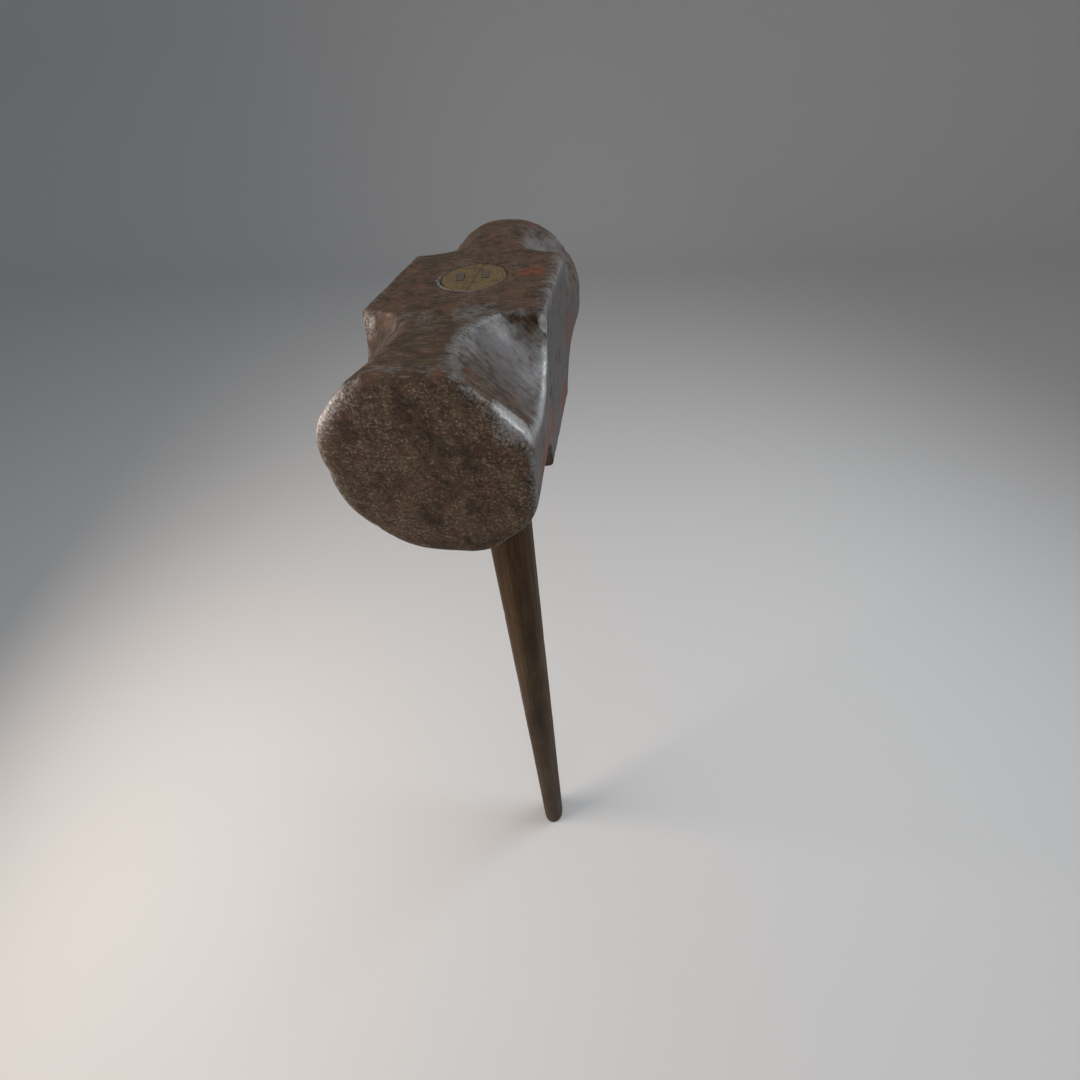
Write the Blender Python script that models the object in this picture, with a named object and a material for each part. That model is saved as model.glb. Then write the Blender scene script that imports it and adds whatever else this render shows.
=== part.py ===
"""Long-handled sledgehammer: a forged double-faced head wedged on an oval wooden handle.

Metres, +Z up. The origin is the middle of the handle's butt. +Z runs up the handle to the head,
X is the striking axis, with a striking face at each end of it, and Y runs from cheek to cheek.
"""

import math

import bmesh
import bpy

# Whole tool
OVERALL_LENGTH = 0.914  # butt to the flat top of the head's middle block
GAP = 0.0003  # between pieces that touch

# Head
FRONT_REACH = 0.0980  # handle's axis to the front striking face, at +X
REAR_REACH = 0.0935  # the same to the rear face: years of use have left it the shorter end
BLOCK_LENGTH = 0.070  # the square middle block, along X
BLOCK_WIDTH = 0.0794  # cheek to cheek
BLOCK_HEIGHT = 0.0796  # underside to top
END_WIDTH = 0.0850  # across either end, which is an octagon rounded almost to a circle
END_CHAMFER = 0.0433  # from the striking axis to an end's chamfer, at the face
BLOCK_CHAMFER = 0.0550  # the same on the block, where only the corner is broken
SCOOP_DEPTH = 0.0048  # how far a chamfer is dished between the face and the block
SCOOP_SKEW = 0.85  # below 1, the dish is deepest nearer the block
SHOULDER_RUNOUT = 0.0045  # length over which a chamfer climbs to the block's corner
END_EDGE_RADIUS = 0.0295  # corners of the octagon at a striking face
BLOCK_EDGE_RADIUS = 0.0020
EDGE_ROUNDING = 2.2  # above 1, the corners stay crisp near the block
FACE_ROLL_DEPTH = 0.0020  # how far a worn face falls away towards its edge
FACE_ROLL_WIDTH = 0.0080
END_STATIONS = 16  # sections along one end, closest together at the block
STATION_CROWDING = 1.6
ROLL_STATIONS = 5
CORNER_STEPS = 5  # facets round each of a section's eight corners

# Eye: half-sizes along X and Y at the underside, the waist and the top
EYE_UNDERSIDE = (0.0192, 0.0166)
EYE_WAIST = (0.0172, 0.0148)
EYE_TOP = (0.0181, 0.0155)
EYE_LEAN = (-0.0032, 0.0006)  # the top mouth's place over the lower one: it was punched out of square
EYE_RIM = 0.0012  # broken edge at both mouths
EYE_STEPS = 8

# Handle: half-sizes along X and Y at the butt, the middle and under the head
HANDLE_BUTT = (0.0192, 0.0164)
HANDLE_MIDDLE = (0.0186, 0.0160)
HANDLE_NECK = (0.0189, 0.0163)
HANDLE_TOP = OVERALL_LENGTH - 0.0004  # sawn off just below the head's top
BUTT_ROUND = 0.0035
BUTT_STEPS = 4
HANDLE_STEPS = 14
OVAL_SIDES = 40

# Wedges: length along X, thickness at the head and at the tip, and depth below the handle's top
WOOD_WEDGE_LENGTH = 0.040  # before its ends are trimmed to the eye
WOOD_WEDGE_THICKNESS = (0.0026, 0.0008)
WOOD_WEDGE_DEPTH = 0.055
WOOD_WEDGE_PLACE = (-0.0032, -0.0002)
STEEL_WEDGE_LENGTH = 0.0105
STEEL_WEDGE_THICKNESS = (0.0032, 0.0009)
STEEL_WEDGE_DEPTH = 0.024
STEEL_WEDGE_TURN = math.radians(12)  # each is driven a little askew
STEEL_WEDGES = {"steel_wedge_left": (-0.0032, -0.0058), "steel_wedge_right": (-0.0070, 0.0054)}
CUTTER_OVERRUN = 0.002  # how far a cutter stands out of the piece it cuts

HEAD_Z = OVERALL_LENGTH - BLOCK_HEIGHT / 2  # height of the striking axis
HEAD_UNDERSIDE = OVERALL_LENGTH - BLOCK_HEIGHT


def clear_scene():
    for obj in list(bpy.data.objects):
        bpy.data.objects.remove(obj)


def make_collection(name):
    collection = bpy.data.collections.new(name)
    bpy.context.scene.collection.children.link(collection)
    return collection


def make_material(name, colour, roughness, metallic=0.0):
    material = bpy.data.materials.new(name)
    material.use_nodes = True
    shader = material.node_tree.nodes["Principled BSDF"]
    shader.inputs["Base Color"].default_value = (*colour, 1.0)
    shader.inputs["Roughness"].default_value = roughness
    shader.inputs["Metallic"].default_value = metallic
    return material


def add_object(name, shape, collection, material=None):
    """A new object from a bmesh. One with no material is a cutter, which isn't rendered."""
    bmesh.ops.recalc_face_normals(shape, faces=shape.faces)
    mesh = bpy.data.meshes.new(name)
    shape.to_mesh(mesh)
    shape.free()
    mesh.shade_smooth()
    mesh.set_sharp_from_angle(angle=math.radians(30))
    obj = bpy.data.objects.new(name, mesh)
    collection.objects.link(obj)
    if material:
        mesh.materials.append(material)
    else:
        obj.hide_render = True
        obj.display_type = "WIRE"
    return obj


def add_boolean(obj, cutter, operation="DIFFERENCE"):
    modifier = obj.modifiers.new(cutter.name, "BOOLEAN")
    modifier.operation = operation
    modifier.object = cutter


def loft(rings):
    """A closed skin over rings that hold the same number of points, with a flat cap on each end."""
    skin = bmesh.new()
    rows = [[skin.verts.new(point) for point in ring] for ring in rings]
    for row, following in zip(rows, rows[1:]):
        for i in range(len(row)):
            j = (i + 1) % len(row)
            skin.faces.new((row[i], row[j], following[j], following[i]))
    skin.faces.new(rows[0])
    skin.faces.new(rows[-1])
    return skin


def between(first, second, share):
    return tuple(a + (b - a) * share for a, b in zip(first, second))


def grown(half_sizes, by):
    return tuple(half + by for half in half_sizes)


def oval(half_sizes, z):
    """An oval ring. Above the head's underside its middle leans with the eye."""
    half_x, half_y = half_sizes
    lean = max(0.0, (z - HEAD_UNDERSIDE) / BLOCK_HEIGHT)
    x, y = EYE_LEAN[0] * lean, EYE_LEAN[1] * lean
    turns = [2 * math.pi * i / OVAL_SIDES for i in range(OVAL_SIDES)]
    return [(x + half_x * math.cos(turn), y + half_y * math.sin(turn), z) for turn in turns]


def octagon(x, half_width, half_height, chamfer, radius):
    """The head's section at x: a rectangle with its corners cut at 45 degrees and each new corner rounded."""
    set_in = radius * math.tan(math.radians(22.5))
    cheek_centre = (half_width - radius, math.sqrt(2) * chamfer - half_width - set_in)
    top_centre = (math.sqrt(2) * chamfer - half_height - set_in, half_height - radius)
    quarter = []
    for (y, z), first_angle in ((cheek_centre, 0), (top_centre, 45)):
        for step in range(CORNER_STEPS + 1):
            angle = math.radians(first_angle + 45 * step / CORNER_STEPS)
            quarter.append((y + radius * math.cos(angle), z + radius * math.sin(angle)))
    back = quarter[::-1]
    upper = quarter + [(-y, z) for y, z in back]
    lower = [(-y, -z) for y, z in quarter] + [(y, -z) for y, z in back]
    return [(x, y, HEAD_Z + z) for y, z in upper + lower]


def end_section(x, run, share, inset=0.0):
    """A section of an end of that run, between the block, at share 0, and the striking face, at 1."""
    block, end = (BLOCK_WIDTH / 2, BLOCK_HEIGHT / 2), (END_WIDTH / 2, END_WIDTH / 2)
    half_width, half_height = between(block, end, math.sin(share * math.pi / 2))
    dish = SCOOP_DEPTH * math.sin(math.pi * share**SCOOP_SKEW)
    climb = math.exp(-share * run / SHOULDER_RUNOUT)
    chamfer = END_CHAMFER - dish + (BLOCK_CHAMFER - END_CHAMFER) * climb
    radius = BLOCK_EDGE_RADIUS + (END_EDGE_RADIUS - BLOCK_EDGE_RADIUS) * share**EDGE_ROUNDING
    return octagon(x, half_width - inset, half_height - inset, chamfer - inset, radius)


def end_rings(reach):
    """Sections from the block's edge out to the striking face, with the end lying along +X."""
    run = reach - FACE_ROLL_DEPTH - BLOCK_LENGTH / 2
    rings = []
    for i in range(END_STATIONS + 1):
        share = (i / END_STATIONS) ** STATION_CROWDING
        rings.append(end_section(BLOCK_LENGTH / 2 + share * run, run, share))
    for i in range(1, ROLL_STATIONS + 1):
        turn = math.pi / 2 * i / ROLL_STATIONS
        x = reach - FACE_ROLL_DEPTH * (1 - math.sin(turn))
        rings.append(end_section(x, run, 1, FACE_ROLL_WIDTH * (1 - math.cos(turn))))
    return rings


def eye_rings(bottom, top, gap=0.0):
    """Ovals up the eye from its underside to its top, narrowest at the waist, each set in by the gap."""
    rings = []
    for i in range(EYE_STEPS + 1):
        share = i / EYE_STEPS
        mouth = EYE_TOP if share > 0.5 else EYE_UNDERSIDE
        half_sizes = between(EYE_WAIST, mouth, (2 * share - 1) ** 2)
        rings.append(oval(grown(half_sizes, -gap), bottom + share * (top - bottom)))
    return rings


def eye_cutter(collection):
    """The eye with both mouths opened by the rim, running out past the head."""
    below, above = grown(EYE_UNDERSIDE, EYE_RIM), grown(EYE_TOP, EYE_RIM)
    rings = [oval(below, HEAD_UNDERSIDE - CUTTER_OVERRUN), oval(below, HEAD_UNDERSIDE)]
    rings += eye_rings(HEAD_UNDERSIDE + EYE_RIM, OVERALL_LENGTH - EYE_RIM)
    rings += [oval(above, OVERALL_LENGTH), oval(above, OVERALL_LENGTH + CUTTER_OVERRUN)]
    return add_object("eye_cutter", loft(rings), collection)


def handle_rings():
    """Ovals from the rounded butt up to the head's underside, and on up the eye."""
    rings = []
    for i in range(BUTT_STEPS + 1):
        turn = math.pi / 2 * i / BUTT_STEPS
        set_in = BUTT_ROUND * (1 - math.sin(turn))
        rings.append(oval(grown(HANDLE_BUTT, -set_in), BUTT_ROUND * (1 - math.cos(turn))))
    for i in range(1, HANDLE_STEPS):
        share = i / HANDLE_STEPS
        end = HANDLE_NECK if share > 0.5 else HANDLE_BUTT
        half_sizes = between(HANDLE_MIDDLE, end, (2 * share - 1) ** 2)
        rings.append(oval(half_sizes, BUTT_ROUND + share * (HEAD_UNDERSIDE - BUTT_ROUND)))
    return rings + eye_rings(HEAD_UNDERSIDE, HANDLE_TOP, GAP)


def wedge_shape(length, thickness, depth, grow=0.0):
    """A wedge pointing down from the handle's top. Grown, it is the slot the wedge is driven into."""
    rings = []
    for half_y, z in ((thickness[1] / 2 + grow, -depth - grow), (thickness[0] / 2 + grow, 0.0)):
        half_x = length / 2 + grow
        rings.append([(half_x, half_y, z), (-half_x, half_y, z), (-half_x, -half_y, z), (half_x, -half_y, z)])
    if grow:
        rings.append([(x, y, CUTTER_OVERRUN) for x, y, z in rings[-1]])
    return loft(rings)


def place_wedge(obj, x, y, turn=0.0):
    obj.location = (x, y, HANDLE_TOP)
    obj.rotation_euler.z = turn


def make_head(parts, cutters):
    steel = make_material("forged_steel", (0.15, 0.125, 0.11), 0.55, 0.75)
    rear = [[(-x, y, z) for x, y, z in ring] for ring in reversed(end_rings(REAR_REACH))]
    head = add_object("head", loft(rear + end_rings(FRONT_REACH)), parts, steel)
    add_boolean(head, eye_cutter(cutters))


def make_handle(parts):
    wood = make_material("handle_wood", (0.34, 0.25, 0.17), 0.7)
    return add_object("handle", loft(handle_rings()), parts, wood)


def make_wooden_wedge(handle, parts, cutters):
    wood = make_material("wedge_wood", (0.42, 0.33, 0.2), 0.75)
    size = (WOOD_WEDGE_LENGTH, WOOD_WEDGE_THICKNESS, WOOD_WEDGE_DEPTH)
    wedge = add_object("wooden_wedge", wedge_shape(*size), parts, wood)
    place_wedge(wedge, *WOOD_WEDGE_PLACE)
    trimmer = add_object("wedge_trimmer", loft(eye_rings(HEAD_UNDERSIDE, OVERALL_LENGTH, GAP)), cutters)
    add_boolean(wedge, trimmer, "INTERSECT")
    kerf = add_object("kerf_cutter", wedge_shape(*size, GAP), cutters)
    place_wedge(kerf, *WOOD_WEDGE_PLACE)
    add_boolean(handle, kerf)


def make_steel_wedges(handle, parts, cutters):
    iron = make_material("wedge_iron", (0.28, 0.26, 0.27), 0.5, 0.8)
    size = (STEEL_WEDGE_LENGTH, STEEL_WEDGE_THICKNESS, STEEL_WEDGE_DEPTH)
    for name, (x, y) in STEEL_WEDGES.items():
        wedge = add_object(name, wedge_shape(*size), parts, iron)
        place_wedge(wedge, x, y, STEEL_WEDGE_TURN)
        slot = add_object(name + "_slot", wedge_shape(*size, GAP), cutters)
        place_wedge(slot, x, y, STEEL_WEDGE_TURN)
        add_boolean(handle, slot)


def main():
    clear_scene()
    parts = make_collection("sledgehammer")
    cutters = make_collection("cutters")
    make_head(parts, cutters)
    handle = make_handle(parts)
    make_wooden_wedge(handle, parts, cutters)
    make_steel_wedges(handle, parts, cutters)


main()
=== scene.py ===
"""The looks of a long-handled sledgehammer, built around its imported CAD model.

Metres, +Z up, in the model's own frame: the handle's butt stands on the floor at the origin, X is the
striking axis with a face at each end of it, and Y runs from cheek to cheek. Each piece of the tool is one
class, and each finish is one frozen dataclass that mixes its own material.
"""

from __future__ import annotations

import logging
import math
from dataclasses import dataclass, field
from enum import Enum
from typing import Any, Mapping, Sequence, Union

import bpy
import numpy as np
from mathutils import Matrix, Vector, noise


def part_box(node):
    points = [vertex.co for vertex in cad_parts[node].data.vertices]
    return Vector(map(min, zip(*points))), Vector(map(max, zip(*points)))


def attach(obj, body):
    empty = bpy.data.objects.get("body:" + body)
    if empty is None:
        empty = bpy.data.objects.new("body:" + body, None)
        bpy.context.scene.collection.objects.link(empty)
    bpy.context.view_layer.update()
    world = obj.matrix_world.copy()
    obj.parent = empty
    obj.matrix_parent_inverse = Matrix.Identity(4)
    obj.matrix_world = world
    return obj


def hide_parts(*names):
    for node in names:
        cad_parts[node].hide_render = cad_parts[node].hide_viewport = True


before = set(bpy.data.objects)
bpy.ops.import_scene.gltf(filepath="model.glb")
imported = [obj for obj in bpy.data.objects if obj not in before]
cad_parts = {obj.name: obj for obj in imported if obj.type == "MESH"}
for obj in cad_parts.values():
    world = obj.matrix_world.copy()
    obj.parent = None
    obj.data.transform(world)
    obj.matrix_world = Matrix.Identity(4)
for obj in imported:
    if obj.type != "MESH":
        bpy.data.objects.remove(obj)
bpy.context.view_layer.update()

LOG = logging.getLogger("sledgehammer")
BODY = "root"
MM = 0.001
SHARP = math.radians(40)  # edges that turn more than this are shaded sharp
TINY = 1e-9  # keeps a chance above nothing, so that chances can be shared out

Colour = tuple[float, float, float]
Operand = Union["Signal", float, Sequence[float]]


class Slot(Enum):
    """The material slots of the part's record."""

    STEEL = "forged_steel"
    HANDLE = "handle_wood"
    WEDGE_WOOD = "wedge_wood"
    WEDGE_IRON = "wedge_iron"


class Mark(Enum):
    """What a mesh tells its finish about each of its points, from 0 to 1."""

    # worn bare edges, with painted glints and highlights laid into the same mark
    WORN = "worn"
    PAINT = "paint"
    # burnished steel in the scoops and on the cheeks, partly a painted sheen of the cool light
    SCOOP = "scoop"
    # pale rubbed steel along the rounded edges, partly a painted soft highlight on them
    BORDER = "border"
    FACE = "face"
    END = "end"


# ---------------------------------------------------------------- shader maths


class Signal:
    """A value, colour or vector inside a material, on which Python's operators add nodes."""

    def __init__(self, recipe: Recipe, socket: bpy.types.NodeSocket) -> None:
        """Wraps a socket.

        Args:
            recipe: the material that the socket belongs to.
            socket: the output that carries the signal.
        """
        self.recipe = recipe
        self.socket = socket

    def maths(self, operation: str, *operands: Operand) -> Signal:
        """Adds one Math node.

        Args:
            operation: the node's operation, such as ADD.
            operands: its inputs, in order.

        Returns:
            The node's result.
        """
        made = self.recipe.node("ShaderNodeMath", {"operation": operation}, dict(enumerate(operands)))
        return Signal(self.recipe, made.outputs[0])

    def __add__(self, other: Operand) -> Signal:
        """This plus the other."""
        return self.maths("ADD", self, other)

    def __sub__(self, other: Operand) -> Signal:
        """This less the other."""
        return self.maths("SUBTRACT", self, other)

    def __rsub__(self, other: Operand) -> Signal:
        """The other less this."""
        return self.maths("SUBTRACT", other, self)

    def __mul__(self, other: Operand) -> Signal:
        """This times the other."""
        return self.maths("MULTIPLY", self, other)

    def __truediv__(self, other: Operand) -> Signal:
        """This over the other."""
        return self.maths("DIVIDE", self, other)

    def __pow__(self, other: Operand) -> Signal:
        """This to the power of the other."""
        return self.maths("POWER", self, other)

    def __or__(self, other: Operand) -> Signal:
        """The greater of the two, which joins two masks."""
        return self.maths("MAXIMUM", self, other)

    __radd__ = __add__
    __rmul__ = __mul__
    __ror__ = __or__

    def between(self, low: float, high: float) -> Signal:
        """A soft step.

        Args:
            low: where the step starts, at 0.
            high: where it ends, at 1. It may be below low, and the step then falls.

        Returns:
            The stepped value.
        """
        settings = {"interpolation_type": "SMOOTHSTEP"}
        values = {"Value": self, "From Min": low, "From Max": high}
        made = self.recipe.node("ShaderNodeMapRange", settings, values)
        return Signal(self.recipe, made.outputs["Result"])

    def stretched(self, x: float, y: float, z: float) -> Signal:
        """This vector with each part scaled: the smaller the number, the longer the pattern that way."""
        made = self.recipe.node("ShaderNodeVectorMath", {"operation": "MULTIPLY"}, {0: self, 1: (x, y, z)})
        return Signal(self.recipe, made.outputs[0])

    def part(self, axis: str) -> Signal:
        """The X, Y or Z part of this vector."""
        return Signal(self.recipe, self.recipe.node("ShaderNodeSeparateXYZ", {}, {0: self}).outputs[axis])


class Recipe:
    """A material in the making: one Principled shader and the nodes that feed it."""

    def __init__(self, name: str) -> None:
        """Starts a material.

        Args:
            name: the material's name.
        """
        self.material = bpy.data.materials.new(name)
        self.material.use_nodes = True
        self.tree = self.material.node_tree
        self.shader = self.tree.nodes["Principled BSDF"]

    def node(
        self, kind: str, settings: Mapping[str, Any], values: Mapping[Union[str, int], Operand]
    ) -> bpy.types.Node:
        """Adds any node.

        Args:
            kind: the node's type.
            settings: its properties, set before its sockets.
            values: a number, colour, vector or signal for each named or numbered input.

        Returns:
            The new node.
        """
        made = self.tree.nodes.new(kind)
        for name, setting in settings.items():
            setattr(made, name, setting)
        for key, value in values.items():
            self.feed(made.inputs[key], value)
        return made

    def feed(self, socket: bpy.types.NodeSocket, value: Operand) -> None:
        """Links a signal to a socket, or sets a constant on it.

        Args:
            socket: the input.
            value: what it gets. A colour of three parts is opaque.
        """
        if isinstance(value, Signal):
            self.tree.links.new(value.socket, socket)
        elif socket.type == "RGBA":
            socket.default_value = (*value, 1.0)
        else:
            socket.default_value = value

    def place(self) -> Signal:
        """Where each point is, in metres in the model's frame."""
        return Signal(self, self.node("ShaderNodeTexCoord", {}, {}).outputs["Object"])

    def mark(self, mark: Mark) -> Signal:
        """A mark that the mesh carries."""
        made = self.node("ShaderNodeAttribute", {"attribute_name": mark.value}, {})
        return Signal(self, made.outputs["Fac"])

    def noise(
        self, place: Signal, size: float, detail: float, rough: float = 0.5, warp: float = 0.0
    ) -> Signal:
        """Cloudy noise, mostly between 0.3 and 0.7.

        Args:
            place: the coordinates that it is read at.
            size: the size of its clouds, in metres.
            detail: how many finer layers it has.
            rough: how strong the finer layers are.
            warp: how far the clouds are drawn out of shape.

        Returns:
            The noise.
        """
        values = {"Vector": place, "Scale": 1 / size, "Detail": detail}
        values |= {"Roughness": rough, "Distortion": warp}
        return Signal(self, self.node("ShaderNodeTexNoise", {}, values).outputs[0])

    def cells(self, place: Signal, size: float) -> Signal:
        """The distance to the nearest of a scatter of points."""
        made = self.node("ShaderNodeTexVoronoi", {}, {"Vector": place, "Scale": 1 / size})
        return Signal(self, made.outputs["Distance"])

    def blend(self, mask: Operand, under: Operand, over: Operand) -> Signal:
        """Mixes two colours.

        Args:
            mask: 0 keeps the first, 1 shows the second.
            under: the first colour.
            over: the second colour.

        Returns:
            The mixed colour.
        """
        made = self.node("ShaderNodeMix", {"data_type": "RGBA"}, {0: mask, 6: under, 7: over})
        return Signal(self, made.outputs[2])

    def relief(self, height: Signal, depth: float, strength: float, below: Signal | None = None) -> Signal:
        """Fine relief in the shading.

        Args:
            height: the relief, from 0 to 1.
            depth: how deep it goes, in metres.
            strength: how much of it shows.
            below: relief that this one is laid over.

        Returns:
            The normal.
        """
        values = {"Height": height, "Distance": depth, "Strength": strength}
        if below is not None:
            values["Normal"] = below
        return Signal(self, self.node("ShaderNodeBump", {}, values).outputs[0])

    def finish(self, **sockets: Operand) -> bpy.types.Material:
        """Feeds the shader.

        Args:
            sockets: what each of its inputs gets, with the input's name in small letters and underscores.

        Returns:
            The finished material.
        """
        names = {socket.name.lower().replace(" ", "_"): socket for socket in self.shader.inputs}
        for name, value in sockets.items():
            self.feed(names[name], value)
        return self.material


# ---------------------------------------------------------------- finishes


@dataclass(frozen=True)
class ForgedSteel:
    """Old forged steel: brown oxide and rust, bare and bright where it rubs, with painted highlights and a
    painted sheen on its edges and scoops, and the last of its paint.
    """

    scale: Colour = (0.024, 0.017, 0.012)
    oxide: Colour = (0.086, 0.056, 0.036)
    rust: Colour = (0.118, 0.056, 0.034)
    olive: Colour = (0.092, 0.072, 0.043)
    dust: Colour = (0.270, 0.218, 0.162)
    # burnished steel, its pale blue grey partly a painted sheen of the cool light
    burnished_sheen: Colour = (0.120, 0.115, 0.118)
    # pale rubbed steel, also the colour of the painted soft highlight along rounded edges
    pale: Colour = (0.214, 0.209, 0.200)
    # bare steel on worn edges, also the colour of the painted glints and highlights
    bright: Colour = (0.500, 0.500, 0.500)
    paint: Colour = (0.185, 0.046, 0.026)

    def mix(self) -> bpy.types.Material:
        """Mixes the material.

        Returns:
            The material.
        """
        steel = Recipe("forged_steel")
        place = steel.place()
        worn, painted, face = steel.mark(Mark.WORN), steel.mark(Mark.PAINT), steel.mark(Mark.FACE)
        scoop, border = steel.mark(Mark.SCOOP), steel.mark(Mark.BORDER)

        clouds = steel.noise(place, 15 * MM, 4.0, 0.55)
        patches = steel.noise(place, 4.5 * MM, 5.0, 0.62)
        tints = steel.noise(place, 10 * MM, 4.0, 0.6, 0.5)
        speckle = steel.noise(place, 1.1 * MM, 4.0, 0.8)
        streaks = steel.noise(place.stretched(1.0, 0.10, 0.16), 0.65 * MM, 4.0, 0.65)
        brushed = steel.noise(place.stretched(0.8, 0.16, 0.16), 1.6 * MM, 5.0, 0.62)
        hatching = steel.noise(place.stretched(1.0, 0.35, 1.0), 0.9 * MM, 3.0, 0.7, 1.2)
        forged = streaks * 0.6 + speckle * 0.4
        grain = forged * (1 - face) + (speckle * 0.55 + hatching * 0.45) * face
        contrast = 1.25 + face * 0.6

        mottle = (patches * 0.18 + clouds * 0.22 + grain * 0.60 - 0.49) * contrast + 0.5
        colour = steel.blend(mottle.between(0.34, 0.64), self.scale, self.oxide)
        colour = steel.blend(tints.between(0.48, 0.66) * (0.65 - face * 0.3), colour, self.rust)
        colour = steel.blend(tints.between(0.46, 0.30) * 0.6, colour, self.olive)
        flecks = grain.between(0.51, 0.61) * (patches * 0.5 + clouds * 0.5).between(0.40, 0.56)
        colour = steel.blend(flecks * (0.32 + face * 0.40), colour, self.dust)

        uneven = (brushed - 0.5) * 0.9 + (patches - 0.5) * 1.6 + (clouds - 0.5) * 0.6
        smooth = (scoop + uneven).between(0.2, 0.9)
        scratched = (brushed * 0.4 + streaks * 0.3 + speckle * 0.3 - 0.5) * 2.0
        # rubbed: pale rubbed steel along the edges and scuffs, partly a painted soft highlight on the
        # rounded edges
        rubbed = (border + scratched + (patches - 0.5) * 1.4).between(0.24, 1.10)
        # edges: bright bare steel on worn edges, and painted glints and highlights where the mark carries
        # them
        edges = (worn + scratched * 0.5 + (speckle - 0.5) * 0.9).between(0.28, 1.10)
        # sheen: burnished steel, laid heaviest on the +Y scoop and cheek, partly a painted sheen where the
        # cool light falls
        sheen = steel.blend(brushed.between(0.28, 0.58), self.oxide, self.burnished_sheen)
        sheen = steel.blend(scoop.between(0.4, 1.1), sheen, self.burnished_sheen)
        colour = steel.blend(smooth * 0.9, colour, sheen)
        colour = steel.blend(rubbed * 0.75, colour, self.pale)
        colour = steel.blend(edges * 0.9, colour, self.bright)

        flakes = (painted + (streaks - 0.5) * 2.0 + (patches - 0.5) * 1.0).between(0.35, 1.05)
        colour = steel.blend(flakes * 0.65, colour, self.paint)

        pits = steel.cells(place, 1.5 * MM).between(0.05, 0.45)
        relief = steel.relief(pits * 0.4 + patches, 0.28 * MM, 0.5)
        relief = steel.relief(grain, 0.10 * MM, 0.55, relief)
        bare = (smooth * 0.45 | rubbed * 0.5 | edges * 0.75) * (1 - flakes * 0.8)
        return steel.finish(
            base_color=colour,
            metallic=bare,
            roughness=0.66 - bare * 0.24 + (speckle - 0.5) * 0.25,
            specular_ior_level=0.15,
            normal=relief,
        )


@dataclass(frozen=True)
class HandleWood:
    """Straight-grained wood gone brown with years of hands, oil and weather, with its paler end grain."""

    shadow: Colour = (0.018, 0.009, 0.004)
    brown: Colour = (0.050, 0.026, 0.009)
    tan: Colour = (0.086, 0.048, 0.018)
    silver: Colour = (0.076, 0.057, 0.030)
    end_grain: Colour = (0.190, 0.132, 0.066)
    pith: tuple[float, float] = (0.085, -0.060)
    ring_width: float = 2.3 * MM

    def mix(self) -> bpy.types.Material:
        """Mixes the material.

        Returns:
            The material.
        """
        wood = Recipe("handle_wood")
        place = wood.place()
        along = place.stretched(1.0, 1.0, 0.018)
        end = wood.mark(Mark.END)
        rings = self.growth(wood, place)
        fibres = wood.noise(along, 0.55 * MM, 4.0, 0.65)
        bands = wood.noise(along, 3.4 * MM, 4.0, 0.6, 0.6)
        stains = wood.noise(place.stretched(1.0, 1.0, 0.22), 22 * MM, 5.0, 0.6)
        splits = wood.noise(place.stretched(1.0, 1.0, 0.012), 1.5 * MM, 2.0, 0.4).between(0.655, 0.72)

        colour = wood.blend((bands * 0.7 + rings * 0.3).between(0.22, 0.58), self.shadow, self.brown)
        colour = wood.blend(fibres.between(0.36, 0.70) * stains.between(0.30, 0.56), colour, self.tan)
        weathered = stains.between(0.46, 0.60) * bands.between(0.40, 0.60) * 0.8
        colour = wood.blend(weathered, colour, self.silver)
        colour = wood.blend(stains.between(0.44, 0.32) * 0.35, colour, self.shadow)
        colour = wood.blend(splits * 0.7, colour, self.shadow)

        pores = wood.noise(place, 0.7 * MM, 4.0, 0.7)
        cut = wood.blend(rings * 0.25 + pores.between(0.30, 0.56) * 0.75, self.brown, self.end_grain)
        cut = wood.blend(wood.noise(place, 6 * MM, 4.0, 0.6).between(0.50, 0.64) * 0.6, cut, self.silver)
        colour = wood.blend(end, colour, cut)

        relief = wood.relief(fibres + bands * 0.6 - splits * 0.9, 0.35 * MM, 0.6)
        relief = wood.relief(pores * end, 0.3 * MM, 0.6, relief)
        return wood.finish(
            base_color=colour,
            roughness=0.62 + (fibres - 0.5) * 0.4,
            specular_ior_level=0.12,
            normal=relief,
        )

    def growth(self, wood: Recipe, place: Signal) -> Signal:
        """The growth rings, round a heart that lay outside the billet.

        Args:
            wood: the material.
            place: the coordinates.

        Returns:
            0 in the early wood, rising to 1 in the late wood of each ring.
        """
        x, y = place.part("X") - self.pith[0], place.part("Y") - self.pith[1]
        wander = wood.noise(place.stretched(1.0, 1.0, 0.05), 30 * MM, 2.0) * (3 * MM)
        count = ((x * x + y * y) ** 0.5 + wander) / self.ring_width
        return count.maths("FRACT", count) ** 2.0


@dataclass(frozen=True)
class WedgeWood:
    """A hardwood wedge, driven, sawn flush and dried out in the eye."""

    dark: Colour = (0.070, 0.046, 0.022)
    pale: Colour = (0.155, 0.108, 0.054)

    def mix(self) -> bpy.types.Material:
        """Mixes the material.

        Returns:
            The material.
        """
        wood = Recipe("wedge_wood")
        place = wood.place()
        grain = wood.noise(place.stretched(1.0, 0.35, 0.05), 0.9 * MM, 4.0, 0.65)
        dirt = wood.noise(place, 5 * MM, 4.0, 0.6)
        colour = wood.blend(grain.between(0.34, 0.64), self.dark, self.pale)
        colour = wood.blend(dirt.between(0.52, 0.70) * 0.7, colour, self.dark)
        return wood.finish(
            base_color=colour,
            roughness=0.78 - grain * 0.1,
            specular_ior_level=0.15,
            normal=wood.relief(grain, 0.25 * MM, 0.6),
        )


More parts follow.
